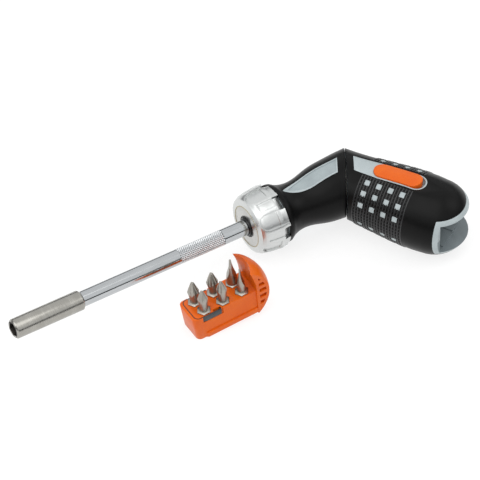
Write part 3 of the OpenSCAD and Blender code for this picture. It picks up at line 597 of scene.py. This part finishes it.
def set_copies(tree, start, places):
    """Ends a tree with a copy on each point, made real, in the finish it is given."""
    copies = add_node(tree, "GeometryNodeInstanceOnPoints", places)
    real = add_node(tree, "GeometryNodeRealizeInstances", {0: copies.outputs[0]})
    painted = add_node(tree, "GeometryNodeSetMaterial", {
        "Geometry": real.outputs[0], "Material": start.outputs["Finish"],
    })
    add_node(tree, "NodeGroupOutput", {0: painted.outputs[0]})


def seed_points(points, facing):
    """An object of points in mm, each with the direction in which its copy faces."""
    data = bpy.data.meshes.new("seeds")
    data.from_pydata([Vector(p) * MM for p in points], [], [])
    layer = data.attributes.new("facing", "FLOAT_VECTOR", "POINT")
    layer.data.foreach_set("vector", [v for f in facing for v in f])
    item = bpy.data.objects.new("seeds", data)
    scene.collection.objects.link(item)
    return item


def made_by(tree, seeds, settings, name):
    """Runs a tree on an object of seed points and returns the result as a plain piece."""
    grown = seeds.modifiers.new("grown", "NODES")
    grown.node_group = tree
    for socket in tree.interface.items_tree:
        if socket.in_out == "INPUT" and socket.name in settings:
            grown[socket.identifier] = settings[socket.name]
    bpy.context.view_layer.update()
    graph = bpy.context.evaluated_depsgraph_get()
    data = bpy.data.meshes.new_from_object(seeds.evaluated_get(graph))
    bpy.data.objects.remove(seeds)
    data.name = name
    item = bpy.data.objects.new(name, data)
    scene.collection.objects.link(item)
    print(name, "faces:", len(data.polygons))
    return item


# %% Tree for the diamonds
DIAMOND_SIDES = 4
diamond_tree, start = geometry_tree("diamonds_on_a_bar", {
    "Across": ("NodeSocketFloat", 1.0 * MM),
    "Height": ("NodeSocketFloat", 0.4 * MM),
    "Crown": ("NodeSocketFloat", 0.35),
    "Finish": ("NodeSocketMaterial", None),
})
crown = add_node(diamond_tree, "ShaderNodeMath", {
    0: start.outputs["Across"], 1: start.outputs["Crown"],
}, operation="MULTIPLY")
diamond = add_node(diamond_tree, "GeometryNodeMeshCone", {
    "Vertices": DIAMOND_SIDES, "Radius Top": crown.outputs[0],
    "Radius Bottom": start.outputs["Across"], "Depth": start.outputs["Height"],
})
upright = add_node(diamond_tree, "FunctionNodeAlignRotationToVector", {
    "Vector": carried(diamond_tree, "facing", "FLOAT_VECTOR"),
}, axis="Z", pivot_axis="X")
set_copies(diamond_tree, start, {
    "Points": start.outputs["Geometry"], "Instance": diamond.outputs["Mesh"],
    "Rotation": upright.outputs["Rotation"],
})
print(diamond_tree.name, "nodes:", len(diamond_tree.nodes))

# %% Diamonds of the knurl
# The same plating: a diamond's small faces scatter what they mirror, and a paler colour
# paints their sheen
materials["knurled"] = finish(
    "steel_chrome_knurl_painted_sheen", "#d6d8da", "#e6e8e9",
    rough=(0.3, 0.42), grain=0.5, bump=0.001, metallic=1.0)
KNURL_AROUND = 18
# Half a diamond's width as a share of the pitch, and its lift off the band in mm
DIAMOND_WIDE, DIAMOND_LIFT = 0.43, 0.04
diamond_pitch = 2 * math.pi * SHAFT_R / KNURL_AROUND
diamond_rows = round(KNURL_LEN / (diamond_pitch / 2))
row_step = KNURL_LEN / diamond_rows

spots, facing = [], []
for row in range(diamond_rows):
    for step in range(KNURL_AROUND):
        turn = 2 * math.pi * (step + 0.5 * (row % 2)) / KNURL_AROUND
        out = Vector((0.0, math.cos(turn), math.sin(turn)))
        spot = out * (SHAFT_R - KNURL_DEEP + DIAMOND_LIFT)
        spots.append((KNURL_START + (row + 0.5) * row_step, spot.y, spot.z))
        facing.append(out)
shaft_knurl = made_by(
    diamond_tree, seed_points(spots, facing),
    {"Across": DIAMOND_WIDE * diamond_pitch * MM, "Height": KNURL_DEEP * MM,
     "Finish": materials["knurled"]},
    "shaft_knurl")
for item in (shaft_bar, shaft_knurl):
    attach(item, "shaft")

# %% [markdown]
# ## Rings in the collar's nose
# A bright disc closes the collar, with a thin brassy line round it where the plating
# ends, and two black rings where the shaft comes out. They are turned like the shaft.

# %% Nose rings
COLLAR_X = 135.3
WIRE_SIDES = 10
# Name, distance behind the collar's nose, radius and wire radius in mm, slot
NOSE_RINGS = (
    ("collar_nose_line", 0.12, 10.9, 0.3, "stainless"),
    ("bush_ring", -0.05, 5.5, 0.22, "black_acetal"),
    ("bush_lip", -0.75, 4.6, 0.25, "black_acetal"),
)


def ring(name, x, r, wire, slot):
    """A round ring about the shaft's axis, of a wire radius in mm."""
    return turned(name, [
        (x + wire * math.cos(a), r + wire * math.sin(a))
        for a in (2 * math.pi * k / WIRE_SIDES for k in range(WIRE_SIDES))
    ], slot, closed=True)


for name, behind, radius, wire, slot in NOSE_RINGS:
    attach(ring(name, COLLAR_X + behind, radius, wire, slot), "neck")
materials["brass_line"] = finish(
    "brass_plating_edge", "#a9a188", "#bfb79d",
    rough=(0.4, 0.5), grain=0.5, bump=0.001, metallic=0.3)
bpy.data.objects["collar_nose_line"].data.materials[0] = materials["brass_line"]
print("nose rings:", [row[0] for row in NOSE_RINGS])

# %% [markdown]
# ## Ribs and dots of the soft grip
# The rubber has narrow ribs round the handle and rows of dots between them, and both
# stop at the bare squares. A ray goes from each seed towards the handle's axis: where
# it meets the rubber a copy is set on the surface, and where it meets a square or the
# panel there is none. So the pattern follows the solid, whatever its shape.

# %% Tree for the pattern
# A copy is a cylinder of one unit, which its size stretches
UNIT, RIB_SIDES = 1.0, 8
RAY_MM = 13
pattern_tree, start = geometry_tree("copies_on_rubber", {
    "Carrier": ("NodeSocketObject", None),
    "Along": ("NodeSocketVector", tuple(grip_along)),
    "Size": ("NodeSocketVector", (MM, MM, MM)),
    "Finish": ("NodeSocketMaterial", None),
})
carrier = add_node(pattern_tree, "GeometryNodeObjectInfo", {
    "Object": start.outputs["Carrier"],
})
ray = add_node(pattern_tree, "GeometryNodeRaycast", {
    "Target Geometry": carrier.outputs["Geometry"], "Ray Length": RAY_MM * MM,
    "Ray Direction": carried(pattern_tree, "facing", "FLOAT_VECTOR"),
})
miss = add_node(pattern_tree, "FunctionNodeBooleanMath", {
    0: ray.outputs["Is Hit"],
}, operation="NOT")
standing = add_node(pattern_tree, "FunctionNodeAlignRotationToVector", {
    "Vector": ray.outputs["Hit Normal"],
}, axis="Z")
square_on = add_node(pattern_tree, "FunctionNodeAlignRotationToVector", {
    "Rotation": standing.outputs["Rotation"], "Vector": start.outputs["Along"],
}, axis="X", pivot_axis="Z")
# The ray's answers are stored on the seeds, because the seeds move afterwards
kept_turn = add_node(pattern_tree, "GeometryNodeStoreNamedAttribute", {
    "Geometry": start.outputs["Geometry"], "Name": "turn",
    "Value": square_on.outputs["Rotation"],
}, data_type="QUATERNION", domain="POINT")
kept_miss = add_node(pattern_tree, "GeometryNodeStoreNamedAttribute", {
    "Geometry": kept_turn.outputs[0], "Name": "miss", "Value": miss.outputs[0],
}, data_type="BOOLEAN", domain="POINT")
landed = add_node(pattern_tree, "GeometryNodeSetPosition", {
    "Geometry": kept_miss.outputs[0], "Position": ray.outputs["Hit Position"],
    "Selection": ray.outputs["Is Hit"],
})
on_rubber = add_node(pattern_tree, "GeometryNodeDeleteGeometry", {
    "Geometry": landed.outputs[0], "Selection": carried(pattern_tree, "miss", "BOOLEAN"),
}, domain="POINT")
bar = add_node(pattern_tree, "GeometryNodeMeshCylinder", {
    "Vertices": RIB_SIDES, "Radius": UNIT / 2, "Depth": UNIT,
})
lying = add_node(pattern_tree, "GeometryNodeTransform", {
    "Geometry": bar.outputs["Mesh"], "Rotation": (math.pi / 2, 0, 0),
})
set_copies(pattern_tree, start, {
    "Points": on_rubber.outputs[0], "Instance": lying.outputs[0],
    "Rotation": carried(pattern_tree, "turn", "QUATERNION"),
    "Scale": start.outputs["Size"],
})
print(pattern_tree.name, "nodes:", len(pattern_tree.nodes))

# %% Ribs and dots
RIB_FIRST, RIB_LAST, RIB_PITCH = 12.45, 42.0, 1.6625
# Degrees left free beside the middle of the panel, and from seed to seed round the grip
RIB_EDGE, RIB_STEP = 21, 3
# Copies of a rib overlap by this factor, so that it has no gaps
RIB_OVERLAP = 1.15
RIB_WIDE, RIB_HIGH = 0.8, 0.6
DOT_SIZE = (0.5, 0.7, 0.8)
# The grip's radius and that of the rings on which the seeds start
GRIP_R, SEED_R = 19, 26


def grip_seeds(first, last, step):
    """Seeds outside the grip, in rings from one station to another, a step in degrees."""
    points, facing = [], []
    for i in range(int((last - first) / RIB_PITCH) + 1):
        for side in (-1, 1):
            for k in range(int((180 - 2 * RIB_EDGE) / step) + 1):
                a = math.radians(side * (RIB_EDGE + k * step))
                out = grip_side * math.sin(a) + Vector((0, 0, math.cos(a)))
                centre = grip_start + grip_along * (first + i * RIB_PITCH)
                points.append(centre + out * SEED_R)
                facing.append(-out)
    return seed_points(points, facing)


def pattern(name, seeds, size):
    """A piece of copies of a size in mm along, round and out of the grip."""
    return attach(made_by(
        pattern_tree, seeds,
        {"Carrier": nodes["grip_sleeve"], "Size": tuple(v * MM for v in size),
         "Finish": materials["ribs"]},
        name), "grip")


# The ribs are glossier than the rubber round them, and their lighter colour is a painted
# sheen
materials["ribs"] = finish(
    "tpe_black_ribs_painted_sheen", "#1a1a1b", "#262627",
    rough=(0.28, 0.36), grain=0.45, bump=0.004)
rib_length = 2 * math.pi * GRIP_R * RIB_STEP / 360 * RIB_OVERLAP
pattern(
    "grip_ribs", grip_seeds(RIB_FIRST, RIB_LAST, RIB_STEP),
    (RIB_WIDE, rib_length, RIB_HIGH))
pattern(
    "grip_dots",
    grip_seeds(RIB_FIRST + RIB_PITCH / 2, RIB_LAST - RIB_PITCH / 2, 2 * RIB_STEP),
    DOT_SIZE)

# %% [markdown]
# ## Table and light
# The photograph has a white table with hardly a shadow, and broad soft lamps. Chrome
# shows what stands round it, so the lamps are large, with darker room between them.

# %% Table
# Opal acrylic lit from below: most of what it sends out is its own light, so shadows
# stay pale and its brightness as a mirror image in the metal is no more than white
TABLE_GLOW = 0.79
TABLE_REACH = 6.0
table_mesh = bpy.data.meshes.new("table")
table_mesh.from_pydata([
    (x * TABLE_REACH, y * TABLE_REACH, cad_low.z)
    for x, y in ((-1, -1), (1, -1), (1, 1), (-1, 1))
], [], [(0, 1, 2, 3)])
table = bpy.data.objects.new("table", table_mesh)
scene.collection.objects.link(table)
table_mesh.materials.append(finish(
    "table_opal_acrylic", "#7e7e7e", "#848484", rough=(0.7, 0.8), grain=3.0, bump=0.01,
    **{"Emission Color": colour("#ffffff"), "Emission Strength": TABLE_GLOW}))
print("table at mm:", round(cad_low.z / MM, 1))

# %% [markdown]
# ## The room
# The room is bright above and darker near the horizon, which draws the dark lines in
# the chrome. The height of each stop is the upward part of the direction looked in.

# %% Room
SKY = ((0.0, "#1c1d1f"), (0.21, "#3e4144"), (0.31, "#fbfcfd"), (1.0, "#ffffff"))
ROOM_POWER = 1.0
scene.view_settings.view_transform = "Standard"
world = bpy.data.worlds.new("room")
scene.world = world
world.use_nodes = True
room = world.node_tree
sky_place = add_node(room, "ShaderNodeTexCoord")
sky_height = add_node(room, "ShaderNodeSeparateXYZ", {
    "Vector": sky_place.outputs["Generated"],
})
sky = add_node(room, "ShaderNodeValToRGB", {"Fac": sky_height.outputs["Z"]})
stops = sky.color_ramp.elements
for i, (height, code) in enumerate(SKY):
    stop = stops[i] if i < 2 else stops.new(height)
    stop.position, stop.color = height, colour(code)
background = room.nodes["Background"]
background.inputs["Strength"].default_value = ROOM_POWER
room.links.new(sky.outputs["Color"], background.inputs["Color"])
print("sky stops:", [round(stop.position, 2) for stop in stops])

# %% Lamps
# Name, azimuth and height in degrees, distance and size in metres, power in watts
LAMPS = (
    ("lamp_above", -50, 68, 1.1, 1.1, 4),
    ("lamp_left", -105, 32, 1.2, 0.6, 1.6),
    ("lamp_right", 60, 40, 1.4, 0.6, 1.2),
)
for name, azimuth, height, distance, size, power in LAMPS:
    lamp = bpy.data.objects.new(name, bpy.data.lights.new(name, "AREA"))
    lamp.data.size = size
    lamp.data.energy = power
    scene.collection.objects.link(lamp)
    aim(lamp, math.radians(azimuth), math.radians(height), distance)
print("lamps:", [row[0] for row in LAMPS])
